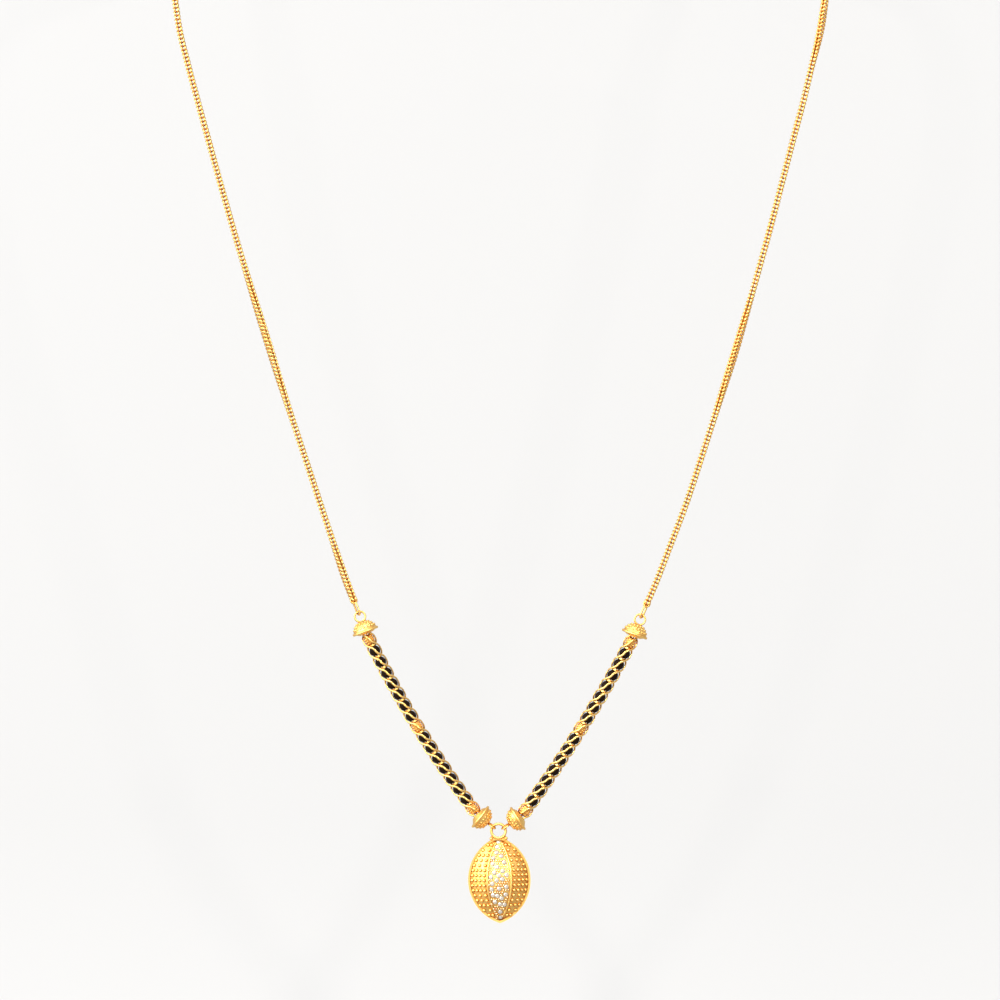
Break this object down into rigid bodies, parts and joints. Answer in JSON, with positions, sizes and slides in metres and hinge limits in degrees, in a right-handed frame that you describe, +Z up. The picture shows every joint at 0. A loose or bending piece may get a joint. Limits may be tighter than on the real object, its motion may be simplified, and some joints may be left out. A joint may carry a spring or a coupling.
{
  "type": "mangalsutra necklace",
  "caption": "Gold mangalsutra: foxtail chain, two caged strands of black and gold beads, granulated caps, and a pave pendant on a bail",
  "frame": {"origin": "middle of the clasp's inner face, where it lies on the nape; the front hangs in a plane 68 mm before it", "axes": "+Z up, +X to the right as seen from the front, and the pendant's front faces -Y"},
  "size_m": [0.1338, 0.0739, 0.2082],
  "materials": {
    "gold": "polished warm yellow gold",
    "black_bead": "glossy black glass bead",
    "stone": "clear white cut stone"
  },
  "bodies": {
    "necklace": {"clasp": "gold", "chain_left": "gold", "clasp_link_left": "gold", "cap_link_left": "gold", "upper_cap_left": "gold", "cage_left": "gold", "stringing_wire_left": "gold", "lower_cap_left": "gold", "chain_right": "gold", "clasp_link_right": "gold", "cap_link_right": "gold", "upper_cap_right": "gold", "cage_right": "gold", "stringing_wire_right": "gold", "lower_cap_right": "gold", "gold_bead_left_1": "gold", "black_bead_left_1": "black_bead", "black_bead_left_2": "black_bead", "black_bead_left_3": "black_bead", "black_bead_left_4": "black_bead", "black_bead_left_5": "black_bead", "black_bead_left_6": "black_bead", "black_bead_left_7": "black_bead", "gold_bead_left_2": "gold", "black_bead_left_8": "black_bead", "black_bead_left_9": "black_bead", "black_bead_left_10": "black_bead", "black_bead_left_11": "black_bead", "black_bead_left_12": "black_bead", "black_bead_left_13": "black_bead", "black_bead_left_14": "black_bead", "gold_bead_left_3": "gold", "gold_bead_right_1": "gold", "black_bead_right_1": "black_bead", "black_bead_right_2": "black_bead", "black_bead_right_3": "black_bead", "black_bead_right_4": "black_bead", "black_bead_right_5": "black_bead", "black_bead_right_6": "black_bead", "black_bead_right_7": "black_bead", "gold_bead_right_2": "gold", "black_bead_right_8": "black_bead", "black_bead_right_9": "black_bead", "black_bead_right_10": "black_bead", "black_bead_right_11": "black_bead", "black_bead_right_12": "black_bead", "black_bead_right_13": "black_bead", "black_bead_right_14": "black_bead", "gold_bead_right_3": "gold"},
    "pendant": {"pendant": "gold", "pave_stones": "stone"}
  },
  "joints": [
    {"name": "pendant_swing", "type": "hinge", "parent": "necklace", "child": "pendant", "pos_m": [-0.0003, -0.068, -0.18738], "axis": [1, 0, 0], "range_deg": [-30, 40]}
  ]
}
